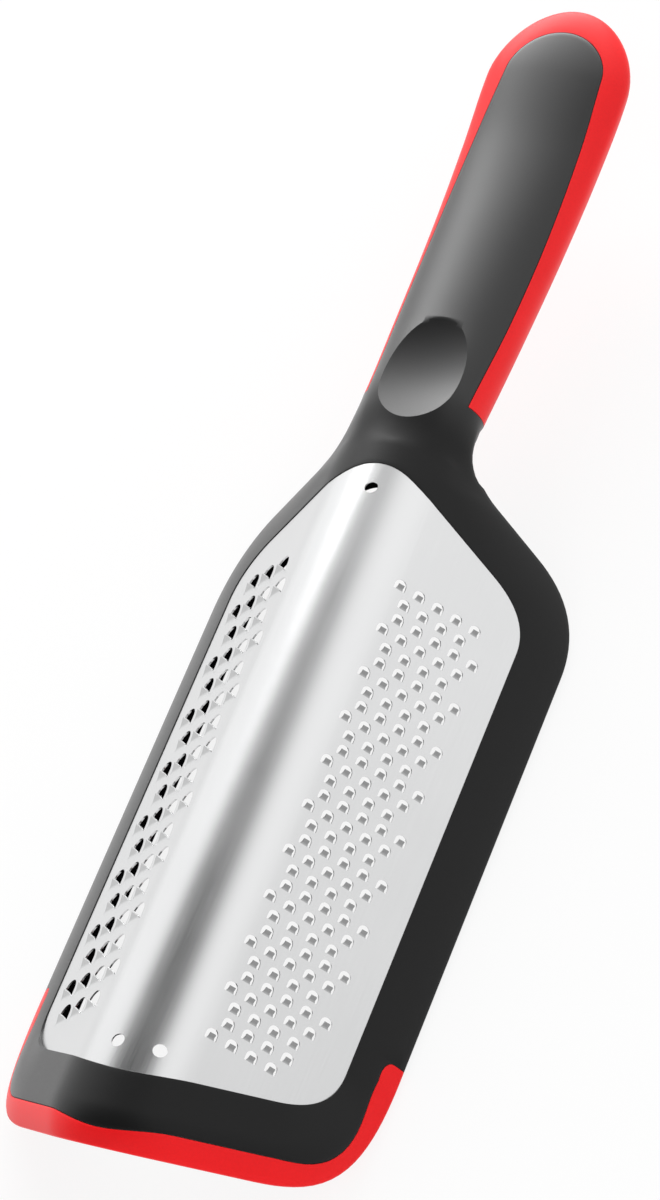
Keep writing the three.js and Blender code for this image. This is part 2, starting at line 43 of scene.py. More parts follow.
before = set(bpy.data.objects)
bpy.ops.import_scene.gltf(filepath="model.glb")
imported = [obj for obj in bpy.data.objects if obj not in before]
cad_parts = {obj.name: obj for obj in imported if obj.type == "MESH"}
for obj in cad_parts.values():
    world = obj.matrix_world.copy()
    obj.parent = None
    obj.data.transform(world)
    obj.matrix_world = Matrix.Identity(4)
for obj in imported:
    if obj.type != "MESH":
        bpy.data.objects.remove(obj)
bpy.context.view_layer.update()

# One millimetre in metres, and lengths that are small enough to count as none
MM = 0.001
WELD = 1e-6
SLIVER = 1e-5
TINY = 1e-9

# Roof and steel, in millimetres. A point is named by how far it lies across the unrolled steel
# from the ridge, how far it lies along the ridge, and how far it stands off the steel.
FACE_SLOPE = math.radians(45)
RIDGE_RADIUS = 18.0
RIDGE_ARC = RIDGE_RADIUS * FACE_SLOPE
RIDGE_EDGE = RIDGE_RADIUS * math.sin(FACE_SLOPE)
RIDGE_CENTRE = -RIDGE_RADIUS / math.cos(FACE_SLOPE)
FOLD_LOSS = RIDGE_RADIUS * (math.tan(FACE_SLOPE) - FACE_SLOPE)
WINDOW_FRONT = 16.5
WINDOW_BACK = 164.0
BACK_FALL = 0.535
WINDOW_FRONT_ROUND = 9.0
WINDOW_BACK_ROUND = 8.5
BACK_PEAK_ROUND = 8.0
BLADE_TUCK = 2.0
PIN_HOLE_RADIUS = 1.4
PIN_HOLES = ((0.0, 156.2), (-3.4, 25.3), (5.5, 25.3))
PIN_HOLE_SIDES = 24
BEND_LINES = 30

# Shape of a tooth at its waist, as shares of its reach, its base and its height
WAIST_REACH = 0.45
WAIST_WIDTH = 0.62
WAIST_RISE = 0.36

# Head of the frame
FRONT_END = -0.45
FRONT_SLANT = 1 / math.tan(math.radians(66.7))
FRONT_FALL = FRONT_SLANT * math.tan(FACE_SLOPE)
FRAME_HALF = 57.6
FRAME_BORDER = 11.6
FRAME_DEPTH = 5.5
LIP_RISE = 1.2
LIP_LOW = 0.16
LIP_ROUND = 0.25
LIP_ROUND_SHARE = 0.7
EDGE_DROP = 1.1
CROWN_OVERRUN = 4.4
CROWN_LEAD = 3.0
FRONT_ROLL = 9.0
FRONT_ROLL_DROP = 1.3
FRONT_CORNER_RUN = 21.0
SIDE_CORNER_RUN = 27.0
FRONT_CORNER_FULLNESS = 0.77
CORNER_FULLNESS = 2 / 3
SHOULDER_AHEAD = 9.0
SHOULDER_ROUND = 15.5
NECK_HALF = 20.9
NECK_BEHIND = 5.1
NECK_ROUND = 10.8
NECK_JOIN_CROWN = 0.45
NECK_JOIN_START = 0.45
STEEL_GAP = 0.05
PIECE_GAP = 0.15
CROWN_REACH = FRAME_BORDER + CROWN_OVERRUN
CROWN_EDGE = math.sqrt(1 - (FRAME_BORDER / CROWN_REACH) ** 2)
CROWN_HEIGHT = (LIP_RISE + EDGE_DROP) / (1 - CROWN_EDGE)
WINDOW_X = (FRAME_HALF - FRAME_BORDER) * math.cos(FACE_SLOPE)

# Rounding of the frame's outer edge, with two points on the curve
EDGE_ROUND = 0.6
EDGE_OUTER = 0.12 * EDGE_ROUND
EDGE_FALL = 0.45 * EDGE_ROUND
EDGE_INNER = 0.4 * EDGE_ROUND

# Points on the rounded lip, as shares of its rounding inward and down
LIP_CURVE = ((0.35, 0.06), (0.1, 0.35))

# Smoothing of the neck
NECK_SMOOTH_START = 168.0
NECK_SMOOTH_END = 180.9
NECK_WELD = 0.25 * MM
NECK_EASE_ROUNDS = 12
NECK_SMOOTH_ROUNDS = 30
SMOOTH_FACTOR = 0.5

# Clamp ring
RING_INSET = 3.2
RING_PROUD = 0.9
RING_BACK_CUT = 1.2
RING_CHAMFER = 0.4
SHEET_ROOM = 0.6

# Foot
FOOT_BAND = 5.6
FOOT_NOSE = 1.6
FOOT_STRIP = 5.1
FOOT_STRIP_DEPTH = 1.8
FOOT_WRAP = 2.0
FOOT_REACH = 46.6
FOOT_TURN = 5.4
FOOT_TURN_DIP = 1.7
FOOT_LOWER_ROUND = 2.6
FOOT_END_ROUND = 2.2

# Points on the foot's rounded lower edge, as shares of its wrap inward and of its rounding up
FOOT_CURVE = ((0.7, 0.0), (0.3, 0.2), (0.1, 0.5), (0.0, 1.0))

# Seams between hard and soft material
SEAM_DIP = 0.07
SEAM_WALL = 3 * SEAM_DIP
SEAM_DEPTH = 0.4
SEAM_BEVEL = 0.3

# Handle: place, half width and levels of middle, top and base
HANDLE_SECTIONS = (
    (167.0, 12.6, -14.2, -8.0, -15.2),
    (175.0, 13.9, -15.4, -7.2, -19.6),
    (182.0, 13.5, -16.2, -6.4, -23.6),
    (200.0, 14.1, -16.5, -7.8, -25.6),
    (225.0, 14.9, -16.7, -8.8, -26.4),
    (248.0, 15.7, -15.5, -9.1, -25.6),
    (266.0, 16.2, -13.4, -8.3, -22.6),
    (284.0, 15.0, -10.8, -7.2, -18.0),
)
HANDLE_START = HANDLE_SECTIONS[0][0]
TIP_ROUND = 17.7
TIP_BLUNTNESS = 0.6
SPINE_END = 266.0
GRIP_START = 181.0
GRIP_STEP = 0.01
RIM_LIMIT = 0.995

# Hard top of the handle: place and half width
INSERT_HALVES = (
    (167.0, 11.3),
    (181.0, 11.3),
    (204.0, 12.25),
    (227.0, 12.5),
    (250.0, 12.0),
    (266.0, 11.0),
)
INSERT_END = 276.5
INSERT_DEPTH = 4.0
DIMPLE_PLACE = 187.6
DIMPLE_LENGTH = 31.5
DIMPLE_WIDTH = 44.0
DIMPLE_DEPTH = 3.1
DIMPLE_LIFT = 6.0
DIMPLE_LEVEL = HANDLE_SECTIONS[2][3]

# How finely curves are divided
EDGE_STEPS = 40
CORNER_STEPS = 24
HEAD_CORNER_STEPS = 32
CROWN_STEPS = 18
STRIP_STEPS = 8
NECK_STEPS = 10
SPINE_STEPS = 36
TIP_STEPS = 20
INSERT_STEPS = 20
CORE_SIDE_STEPS = 18
CORE_FLOOR_STEPS = 16
GRIP_FLOOR_STEPS = 8
GRIP_SIDE_STEPS = 30
DIMPLE_SIDES = 96
DIMPLE_RINGS = 64
HALVINGS = 40

# Least bend, in degrees, that shows as a sharp edge
STEEL_SHARP = 30
FRAME_SHARP = 24
RING_SHARP = 25
SOFT_SHARP = 40

# Place of the fold line in the part's frame, in millimetres
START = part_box("upper_frame")[1].y / MM - INSERT_END
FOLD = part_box("upper_frame")[1].z / MM - RIDGE_CENTRE - RIDGE_RADIUS - LIP_RISE

# Steel's finish. Lines and clouds are counted per metre, and heights are in metres.
BRUSH_LINES = (1900.0, 26.0, 1900.0)
HAIR_LINES = (5200.0, 160.0, 5200.0)
STEEL_CLOUDS = 34.0
BRUSH_SHARE = 0.6
BRUSH_STRENGTH = 0.012
BRUSH_HEIGHT = 0.00004
STEEL_SHADES = (0.9, 1.07)
LINE_SWING = 0.1
STEEL_CLOUD_SWING = 0.08
# Painted shade on the raised teeth: their colour is darkened to this share, in full from this rise in
# millimetres
TOOTH_PAINTED_SHADE = 0.72
TOOTH_PAINTED_SHADE_RISE = 0.3

# Finish of the plastics. The satin grows along its zone, in metres, from what the head has.
GRAINS_PER_CLOUD = 60
GRAIN_SHARE = 0.6
GRAIN_HEIGHT = 0.00012
MOULD_SHADES = (0.86, 1.14)
GRAIN_SWING = 0.18
MOULD_CLOUD_SWING = 0.06
BLOOM_ROUGHNESS = 0.4
SATIN_ROUGHNESS = 0.42
SATIN_ZONE = (0.028, 0.042)
SATIN_AHEAD = 0.17

# Floor, in metres. Its glow is how white it looks.
FLOOR_GAP = 0.00005
FLOOR_REACH = 3.0
FLOOR_SPECKS = 60.0
FLOOR_SHADE = 0.99
FLOOR_GLOW = 0.86

# Sky. Directions point from the object, and each zone is where its light fades.
PATCH_MIDDLE = (-0.26, -0.4, 0.879)
PATCH_ZONE = (0.56, 0.68)
PATCH_FRONT_ZONE = (-0.45, -0.25)
BEHIND = (0.0, 1.0, 0.0)
FRONT_ZONE = (-0.75, 0.0)
FRONT_LEVEL = 0.6
ASIDE = (-0.6, 0.8, 0.0)
ASIDE_ZONE = (-0.24, -0.02)
ASIDE_LEVEL = 0.72
BLACK = (0.0, 0.0, 0.0, 1.0)
WHITE = (1.0, 1.0, 1.0, 1.0)

# Lamps, in metres
SOFT_LAMP_PLACE = (-0.56, 1.1, 0.45)
FILL_LAMP_PLACE = (0.3, -1.2, 0.75)
LAMP_AIM = Vector((0.0, 0.0, 0.02))
LAMP_ASPECT = 0.85

# Camera of the photograph, in metres in the part's frame
CAMERA_PLACE = Vector((0.40124, -0.46731, 0.83200))
CAMERA_RIGHT = Vector((0.90164, 0.35059, -0.25324))
CAMERA_UP = Vector((-0.16482, 0.81990, 0.54827))
CAMERA_LENS = 150.0
CAMERA_SENSOR = 36.0
CAMERA_NEAR = 0.01
CAMERA_FAR = 20.0


@dataclass
class Tooth:
    """One kind of tooth and its pattern, in which each row has a shift and a count."""

    side: int
    width: float
    length: float
    base: float
    reach: float
    tip: float
    first_ahead: float
    row_pitch: float
    pitch: float
    first_column: float
    rows: tuple
    row_count: int
    corner_margin: float
    arc_points: int
    front_margin: float = 4.2
    side_margin: float = 3.0


FINE = Tooth(
    side=1,
    width=2.6,
    length=2.4,
    base=1.65,
    reach=0.95,
    tip=0.76,
    first_ahead=27.5,
    row_pitch=3.494,
    pitch=4.596,
    first_column=17.5,
    rows=((0, 5), (0.5, 4), (0.5, 5)),
    row_count=31,
    corner_margin=18.0,
    arc_points=8,
)
COARSE = Tooth(
    side=-1,
    width=5.3,
    length=4.3,
    base=4.9,
    reach=1.6,
    tip=0.0,
    first_ahead=26.8,
    row_pitch=6.463,
    pitch=6.795,
    first_column=18.95,
    rows=((0.5, 3), (0, 4)),
    row_count=17,
    corner_margin=14.0,
    arc_points=12,
)


# Places and curves


def place(x, y, z):
    """Point in the part's frame, from millimetres off the fold line."""
    return Vector((x, y + START, z + FOLD)) * MM


def fold(across, along, off=0.0):
    """Point off the unrolled steel, bent over the ridge."""
    turn = max(-FACE_SLOPE, min(FACE_SLOPE, across / RIDGE_RADIUS))
    run = across - turn * RIDGE_RADIUS
    radius = RIDGE_RADIUS + off
    x = radius * math.sin(turn) + run * math.cos(turn)
    z = RIDGE_CENTRE + radius * math.cos(turn) - run * math.sin(turn)
    return place(x, along, z)


def across_at(x, off=0.0):
    """How far across the unrolled steel a point at x in plan lies, off the steel."""
    radius = RIDGE_RADIUS + off
    edge = radius * math.sin(FACE_SLOPE)
    if abs(x) <= edge:
        return RIDGE_RADIUS * math.asin(x / radius)
    return math.copysign(RIDGE_ARC + (abs(x) - edge) / math.cos(FACE_SLOPE), x)


def steel_level(across):
    """Height of the steel over the fold line's level."""
    return fold(across, 0.0).z / MM - FOLD


def front_line(across):
    """Front end of the head along the ridge."""
    return FRONT_END - FRONT_SLANT * steel_level(across)


def spread(start, end, steps):
    """Evenly spaced values from start to end."""
    return [start + (end - start) * step / steps for step in range(steps + 1)]


def even(count):
    """Fractions of a line, without its end."""
    return spread(0.0, 1.0, count)[:-1]


def rounded(before, corner, after, run, steps, leave_run=None, fullness=CORNER_FULLNESS):
    """Points of the curve that rounds a corner. A fuller one keeps closer to it."""
    enter = corner + (before - corner).normalized() * run
    leave = corner + (after - corner).normalized() * (leave_run or run)
    pull = enter.lerp(corner, fullness)
    push = leave.lerp(corner, fullness)
    points = []
    for t in spread(0.0, 1.0, steps):
        ends = enter * (1 - t) ** 3 + leave * t**3
        points.append(ends + pull * 3 * t * (1 - t) ** 2 + push * 3 * t**2 * (1 - t))
    return points


def resample(points, fractions):
    """Points at the given fractions of a line's length."""
    lengths = [0.0]
    for a, b in zip(points, points[1:]):
        lengths.append(lengths[-1] + (b - a).length)
    found = []
    for fraction in fractions:
        target = fraction * lengths[-1]
        index = next(i for i in range(1, len(points)) if lengths[i] >= target - TINY)
        span = lengths[index] - lengths[index - 1]
        share_of_span = (target - lengths[index - 1]) / span
        found.append(points[index - 1].lerp(points[index], share_of_span))
    return found


def smooth_step(low, high, value):
    """Rises smoothly from nought to one between two values."""
    t = max(0.0, min(1.0, (value - low) / (high - low)))
    return t * t * (3 - 2 * t)


def between(rows, at):
    """Values of a row of numbers on the smooth curve through all rows, by their first number."""
    index = next((i for i in range(1, len(rows)) if rows[i][0] >= at), len(rows) - 1)
    low, high = rows[index - 1], rows[index]
    span = high[0] - low[0]
    t = (at - low[0]) / span
    before = rows[index - 2] if index > 1 else low
    after = rows[index + 1] if index + 1 < len(rows) else high
    found = []
    for a, b, c, d in zip(before[1:], low[1:], high[1:], after[1:]):
        slope_low = (c - a) / (high[0] - before[0])
        slope_high = (d - b) / (after[0] - low[0])
        value = b * (1 + 2 * t) * (1 - t) ** 2 + c * t * t * (3 - 2 * t)
        value += span * (slope_low * t * (1 - t) ** 2 - slope_high * t * t * (1 - t))
        found.append(value)
    return found


# Outlines of the visible steel and of the head


def window_front(x):
    """Front edge of the visible steel in plan, rounded over the ridge."""
    run = RIDGE_EDGE / math.hypot(1, FRONT_FALL)
    if abs(x) >= run:
        return WINDOW_FRONT + FRONT_FALL * abs(x)
    t = (x / run + 1) / 2
    return WINDOW_FRONT + FRONT_FALL * run * ((1 - t) ** 2 + t**2)


def front_edge(reach, line):
    """Points of a front edge, from its middle out to where its corner starts."""
    points = [Vector((x, 0.0)) for x in spread(0.0, reach, EDGE_STEPS)]
    for point in points:
        point.y = line(point.x)
    return points


def window_parts():
    """Right half of the visible steel's outline in plan, as its stretches from front to back."""
    front = Vector((0.0, WINDOW_FRONT))
    low = Vector((WINDOW_X, WINDOW_FRONT + FRONT_FALL * WINDOW_X))
    high = Vector((WINDOW_X, WINDOW_BACK - BACK_FALL * WINDOW_X))
    peak = Vector((0.0, WINDOW_BACK))
    far = Vector((-WINDOW_X, high.y))
    corner = rounded(front, low, high, WINDOW_FRONT_ROUND, CORNER_STEPS)
    shoulder = rounded(low, high, peak, WINDOW_BACK_ROUND, CORNER_STEPS)
    top = rounded(high, peak, far, BACK_PEAK_ROUND, 2 * CORNER_STEPS)[: CORNER_STEPS + 1]
    edge = front_edge(corner[0].x, window_front)
    end = Vector((WINDOW_X, FOOT_REACH))
    slant = [shoulder[-1], top[0]]
    return [edge, corner, [corner[-1], end], [end, shoulder[0]], shoulder, slant, top]


def head_parts():
    """Right half of the head's outline on the unrolled steel, as stretches that match the steel's."""
    half = FRAME_HALF - FOLD_LOSS
    neck = NECK_HALF - FOLD_LOSS
    low = Vector((half, front_line(half)))
    front = Vector((RIDGE_ARC, front_line(RIDGE_ARC)))
    high = Vector((half, WINDOW_BACK - SHOULDER_AHEAD))
    waist = Vector((neck, WINDOW_BACK + NECK_BEHIND))
    back = Vector((neck, waist.y + 2 * NECK_ROUND))
    corner = rounded(
        front,
        low,
        high,
        FRONT_CORNER_RUN,
        HEAD_CORNER_STEPS,
        leave_run=SIDE_CORNER_RUN,
        fullness=FRONT_CORNER_FULLNESS,
    )
    shoulder = rounded(low, high, waist, SHOULDER_ROUND, HEAD_CORNER_STEPS)
    turn = rounded(high, waist, back, NECK_ROUND, CORNER_STEPS)
    edge = front_edge(corner[0].x, front_line)
    end = Vector((half, FOOT_REACH))
    slant = [shoulder[-1], turn[0]]
    join = turn + [Vector((0.0, turn[-1].y))]
    return [edge, corner, [corner[-1], end], [end, shoulder[0]], shoulder, slant, join]


# Fractions of each stretch at which the head has a cross-section: front edge, front corner, side
# up to the foot's end, side from just behind it, shoulder, slant and neck
STRETCHES = (
    even(18),
    even(20),
    [0.0, 0.25, 0.5, 0.7, 0.79, 0.86, 0.92, 0.96, 0.985, 1.0],
    [0.002] + even(24)[1:],
    even(16),
    even(10),
    even(22) + [1.0],
)
FRONT_STRETCH = 0
CORNER_STRETCH = 1
FOOT_STRETCHES = 3
NECK_STRETCH = len(STRETCHES) - 1


@dataclass
class Station:
    """One cross-section of the head, from its outer edge to the edge of the visible steel."""

    outer: Vector
    inner: Vector
    plan: Vector
    lean: float
    crown: float
    foot: bool
    outward: Vector = None

    @property
    def width(self):
        return (self.inner - self.outer).length

    def top(self, inward):
        """Height of the frame's top off the steel."""
        lead = CROWN_LEAD * self.lean
        rise = LIP_LOW + (LIP_RISE - LIP_LOW) * self.lean
        left = max(0.0, FRAME_BORDER - lead - inward)
        drop = CROWN_HEIGHT * (1 - math.sqrt(1 - (left / CROWN_REACH) ** 2))
        drop *= (rise + EDGE_DROP) / (LIP_RISE + EDGE_DROP)
        roll = FRONT_ROLL_DROP * max(0.0, 1 - inward / FRONT_ROLL) ** 2
        return rise - self.crown * drop - self.lean * roll

    def lip_round(self):
        """Rounding of the lip, held back where the lip is low."""
        return min(LIP_ROUND, LIP_ROUND_SHARE * self.top(self.width))

    def edge_curve(self):
        """Rounding of the outer edge, as places inward and off the steel."""
        return [
            (0.0, self.top(0.0) - EDGE_ROUND),
            (EDGE_OUTER, self.top(0.0) - EDGE_FALL),
            (EDGE_INNER, self.top(EDGE_INNER) - EDGE_OUTER),
        ]

    def point(self, inward, off):
        """Point of the section. A slanted front wall leans back below the steel."""
        part = inward / self.width
        across, along = self.outer.lerp(self.inner, part)
        spot = fold(across, along, off)
        lower = fold(across, along).z - spot.z
        spot.y += self.lean * max(0.0, 1 - part) * FRONT_SLANT * lower
        return spot

    def beside(self, margin, off):
        """Point a plan margin outside the visible steel, on an upright wall."""
        spot = self.plan + self.outward * margin
        return fold(across_at(spot.x, off), spot.y, off)

    def foot_edge(self):
        """How far inward the soft foot reaches."""
        if self.lean < 1:
            strip = FOOT_STRIP + (FOOT_TURN - FOOT_STRIP) * self.lean
            strip -= FOOT_TURN_DIP * 4 * self.lean * (1 - self.lean)
            left = max(0.0, FOOT_END_ROUND - FOOT_REACH + self.outer.y)
            return strip - FOOT_END_ROUND + math.sqrt(max(0.0, FOOT_END_ROUND**2 - left**2))
        low, high = 0.0, self.width
        for _ in range(HALVINGS):
            middle = (low + high) / 2
            across, along = self.outer.lerp(self.inner, middle / self.width)
            nose = FOOT_NOSE * (1 - smooth_step(0.0, RIDGE_ARC, abs(across)))
            if along - front_line(across) > FOOT_BAND - nose:
                high = middle
            else:
                low = middle
        return high

    def wrap(self):
        """Thickness of the soft foot under its top strip."""
        return FOOT_WRAP + (self.foot_edge() - FOOT_WRAP) * self.lean


def head_stations():
    """Right half of the head, from the middle of the front end round to the middle of the neck."""
    stations = []
    for index, fractions in enumerate(STRETCHES):
        outer = resample(head_parts()[index], fractions)
        plan = resample(window_parts()[index], fractions)
        for fraction, edge, spot in zip(fractions, outer, plan):
            lean = 1.0 if index == FRONT_STRETCH else 0.0
            if index == CORNER_STRETCH:
                lean = 1 - smooth_step(0.0, 1.0, fraction)
            crown = 1.0
            if index == NECK_STRETCH:
                crown = 1 - (1 - NECK_JOIN_CROWN) * smooth_step(NECK_JOIN_START, 1.0, fraction)
            inner = Vector((across_at(spot.x), spot.y))
            stations.append(Station(edge, inner, spot, lean, crown, index < FOOT_STRETCHES))
    for before, station, after in zip([None] + stations, stations, stations[1:] + [None]):
        along = (after or station).plan - (before or station).plan
        station.outward = Vector((along.y, -along.x)).normalized()
    stations[0].outward = Vector((0.0, -1.0))
    stations[-1].outward = Vector((0.0, 1.0))
    return stations


# Meshes


def mirrored(points):
    """Mirror images of points on the other side of the ridge."""
    return [Vector((-point.x, point.y, point.z)) for point in points]


def all_parts(mesh):
    """Vertices, edges and faces of a mesh."""
    return mesh.verts[:] + mesh.edges[:] + mesh.faces[:]


def loft(rows, round_rows=False, round_columns=False):
    """Grid of faces warped onto rows of points. Rows or columns can close on themselves."""
    mesh = bmesh.new()
    along = len(rows) if round_rows else len(rows) - 1
    across = len(rows[0]) if round_columns else len(rows[0]) - 1
    bmesh.ops.create_grid(mesh, x_segments=across, y_segments=along, size=0.5)
    for vertex in mesh.verts:
        column = round((vertex.co.x + 0.5) * across) % len(rows[0])
        row = round((vertex.co.y + 0.5) * along) % len(rows)
        vertex.co = rows[row][column]
    bmesh.ops.remove_doubles(mesh, verts=mesh.verts, dist=WELD)
    return mesh


def close_ends(mesh):
    """Fills the open ends of a loft and turns its faces out."""
    bmesh.ops.holes_fill(mesh, edges=[edge for edge in mesh.edges if edge.is_boundary], sides=0)
    bmesh.ops.recalc_face_normals(mesh, faces=mesh.faces)
    return mesh


def rest_flat(mesh):
    """Cuts a closed mesh off flat where it would reach below the floor."""
    bmesh.ops.bisect_plane(
        mesh, geom=all_parts(mesh), dist=WELD, plane_co=(0, 0, 0), plane_no=(0, 0, 1), clear_inner=True
    )
    return close_ends(mesh)


def round_mesh(row):
    """Loft of one closed section all the way round the steel, flat where it rests."""
    rows = [row(station) for station in head_stations()]
    rows += [mirrored(points) for points in reversed(rows[1:-1])]
    return rest_flat(loft(rows, round_rows=True, round_columns=True))


def new_object(name, mesh):
    """Object at the origin from a bmesh, which is freed."""
    data = bpy.data.meshes.new(name)
    mesh.to_mesh(data)
    mesh.free()
    made = bpy.data.objects.new(name, data)
    bpy.context.scene.collection.objects.link(made)
    return made


def combine(base, tool, operation):
    """Joins a closed tool to a closed base, or cuts it away, and removes the tool."""
    modifier = base.modifiers.new(operation.lower(), "BOOLEAN")
    modifier.operation = operation
    modifier.solver = "EXACT"
    modifier.object = tool
    bpy.context.view_layer.update()
    evaluated = base.evaluated_get(bpy.context.evaluated_depsgraph_get())
    old = base.data
    base.data = bpy.data.meshes.new_from_object(evaluated)
    base.data.name = base.name
    base.modifiers.clear()
    bpy.data.meshes.remove(old)
    bpy.data.objects.remove(tool)


@contextmanager
def edited(piece):
    """Opens a piece's mesh for changes, then turns its faces out and writes it back."""
    mesh = bmesh.new()
    mesh.from_mesh(piece.data)
    yield mesh
    bmesh.ops.recalc_face_normals(mesh, faces=mesh.faces)
    mesh.to_mesh(piece.data)
    mesh.free()


def weld(mesh, verts, distance):
    """Merges close vertices, removes slivers and leaves triangles."""
    bmesh.ops.remove_doubles(mesh, verts=verts, dist=distance)
    bmesh.ops.dissolve_degenerate(mesh, edges=mesh.edges, dist=SLIVER)
    bmesh.ops.triangulate(mesh, faces=mesh.faces, quad_method="BEAUTY", ngon_method="BEAUTY")


def neck_verts(mesh):
    """Vertices of the neck, between the steel and the grip."""
    low = place(0.0, NECK_SMOOTH_START, 0.0).y
    high = place(0.0, NECK_SMOOTH_END, 0.0).y
    return [vertex for vertex in mesh.verts if low < vertex.co.y < high]


def smooth_neck(piece):
    """Lets the head flow into the handle without a crease. Only the first rounds change its width."""
    with edited(piece) as mesh:
        weld(mesh, neck_verts(mesh), NECK_WELD)
        neck = neck_verts(mesh)
        for turn in range(NECK_EASE_ROUNDS + NECK_SMOOTH_ROUNDS):
            bmesh.ops.smooth_vert(
                mesh,
                verts=neck,
                factor=SMOOTH_FACTOR,
                use_axis_x=turn < NECK_EASE_ROUNDS,
                use_axis_y=True,
                use_axis_z=True,
            )


def drop_doubled_faces(piece):
    """Removes slivers and pairs of faces that lie back to back on the same corners."""
    with edited(piece) as mesh:
        weld(mesh, mesh.verts, WELD)
        by_corners = {}
        for face in mesh.faces:
            by_corners.setdefault(frozenset(face.verts), []).append(face)
        doubled = [face for faces in by_corners.values() if len(faces) > 1 for face in faces]
        bmesh.ops.delete(mesh, geom=doubled, context="FACES")


def finish_piece(piece, node, material, sharp):
    """Gives a piece its finish and its place in the object."""
    piece.data.materials.clear()
    piece.data.materials.append(material)
    piece.data.shade_smooth()
    piece.data.set_sharp_from_angle(angle=math.radians(sharp))
    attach(piece, "root")
    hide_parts(node)
    return {"FINISHED"}


# Steel


def tooth_places(kind):
    """Places across and along where the teeth of one face leave the sheet."""
    fall = FRONT_SLANT * math.sin(FACE_SLOPE)
    half = FRAME_HALF - FRAME_BORDER
    flat = RIDGE_RADIUS * math.tan(FACE_SLOPE)
    for row in range(kind.row_count):
        along = WINDOW_BACK - kind.first_ahead - row * kind.row_pitch
        shift, count = kind.rows[row % len(kind.rows)]
        for column in range(count):
            down = kind.first_column + (column + shift) * kind.pitch
            from_front = along - WINDOW_FRONT - fall * down
            from_side = half - down
            back = WINDOW_BACK - BACK_FALL * down * math.cos(FACE_SLOPE)
            clear = (
                from_front > kind.front_margin
                and from_front + from_side > kind.corner_margin
                and from_side - kind.width / 2 > kind.side_margin
                and along + kind.length < back - kind.side_margin
                and down + kind.width / 2 > flat
            )
            if clear:
                yield kind.side * (down - FOLD_LOSS), along


def outline(mesh, points):
    """Closed wire through points on the unrolled steel. Returns its vertices."""
    verts = [mesh.verts.new((x, y, 0.0)) for x, y in points]
    for a, b in zip(verts, verts[1:] + verts[:1]):
        mesh.edges.new((a, b))
    return verts


def punch(mesh, kind, across, along):
    """Outline of one hole, square at the tooth's root. Returns the root's edge."""
    half = kind.width / 2
    root = kind.base / 2
    centre = along + kind.length - half
    points = [(across + shift, along) for shift in (-half, -root, root, half)]
    for angle in spread(0.0, math.pi, kind.arc_points):
        points.append((across + half * math.cos(angle), centre + half * math.sin(angle)))
    verts = outline(mesh, points)
    return mesh.edges.get((verts[1], verts[2]))


def raise_tooth(mesh, layer, root, kind, rise):
    """Draws a tongue out of the root's edge to its waist and then to its tip, pointed or blunt."""
    centre = sum((vertex.co for vertex in root.verts), Vector()) / 2
    waist = (WAIST_REACH, max(WAIST_WIDTH, kind.tip), WAIST_RISE)
    tip = (1.0, kind.tip, 1.0)
    edge = root
    for reach, width, height in (waist, tip):
        made = bmesh.ops.extrude_edge_only(mesh, edges=[edge])["geom"]
        fresh = [part for part in made if isinstance(part, bmesh.types.BMVert)]
        for vertex in fresh:
            side = 1 if vertex.co.x > centre.x else -1
            vertex.co.x = centre.x + side * width * kind.base / 2
            vertex.co.y = centre.y + reach * kind.reach
            vertex[layer] = height * rise
        edge = mesh.edges.get(fresh)
    if not kind.tip:
        bmesh.ops.pointmerge(mesh, verts=fresh, merge_co=fresh[0].co)


def blade_outline():
    """Outline of the whole sheet, tucked under the frame."""
    points = []
    for station in head_stations():
        spot = station.plan + station.outward * BLADE_TUCK
        points.append(Vector((across_at(spot.x), spot.y)))
    return points + [Vector((-point.x, point.y)) for point in reversed(points[1:-1])]


def pin_hole(x, along):
    """Outline of a pin hole that is round in plan."""
    points = []
    for step in range(PIN_HOLE_SIDES):
        angle = 2 * math.pi * step / PIN_HOLE_SIDES
        spot = x + PIN_HOLE_RADIUS * math.cos(angle)
        points.append((across_at(spot), along + PIN_HOLE_RADIUS * math.sin(angle)))
    return points


def blade_mesh(settings):
    """Punched sheet, bent over the ridge, with its teeth raised and its thickness."""
    mesh = bmesh.new()
    layer = mesh.verts.layers.float.new("rise")
    outline(mesh, blade_outline())
    roots = []
    for kind, rise in ((FINE, settings.fine_rise), (COARSE, settings.coarse_rise)):
        for across, along in tooth_places(kind):
            roots.append((punch(mesh, kind, across, along), kind, rise / MM))
    for x, along in PIN_HOLES:
        outline(mesh, pin_hole(x, along))
    bmesh.ops.triangle_fill(
        mesh, use_beauty=True, use_dissolve=False, edges=mesh.edges[:], normal=(0, 0, 1)
    )
    for root, kind, rise in roots:
        raise_tooth(mesh, layer, root, kind, rise)
    for line in range(BEND_LINES + 1):
        spot = (RIDGE_ARC * (2 * line / BEND_LINES - 1), 0, 0)
        bmesh.ops.bisect_plane(
            mesh, geom=all_parts(mesh), dist=WELD, plane_co=spot, plane_no=(1, 0, 0)
        )
    for vertex in mesh.verts:
        vertex.co = fold(vertex.co.x, vertex.co.y, vertex[layer])
    bmesh.ops.recalc_face_normals(mesh, faces=mesh.faces)
    if sum(face.normal.z for face in mesh.faces) < 0:
        bmesh.ops.reverse_faces(mesh, faces=mesh.faces)
    bmesh.ops.solidify(mesh, geom=mesh.faces[:], thickness=settings.sheet)
    return mesh


# Frame, clamp ring and foot


def crown_points(station, start):
    """Top of the frame from a place inward to the rounded lip."""
    spots = spread(start, station.width - station.lip_round(), CROWN_STEPS)
    return [station.point(spot, station.top(spot)) for spot in spots]


def lip_points(station):
    """Rounded lip round the steel and the rebate behind it."""
    width = station.width
    top = station.top(width)
    bend = station.lip_round()
    pocket = BLADE_TUCK + 2 * PIECE_GAP
    curve = [station.point(width - inward * bend, top - down * bend) for inward, down in LIP_CURVE]
    return curve + [
        station.point(width, top - bend),
        station.point(width, STEEL_GAP),
        station.beside(pocket, STEEL_GAP),
        station.beside(pocket, -FRAME_DEPTH),
    ]


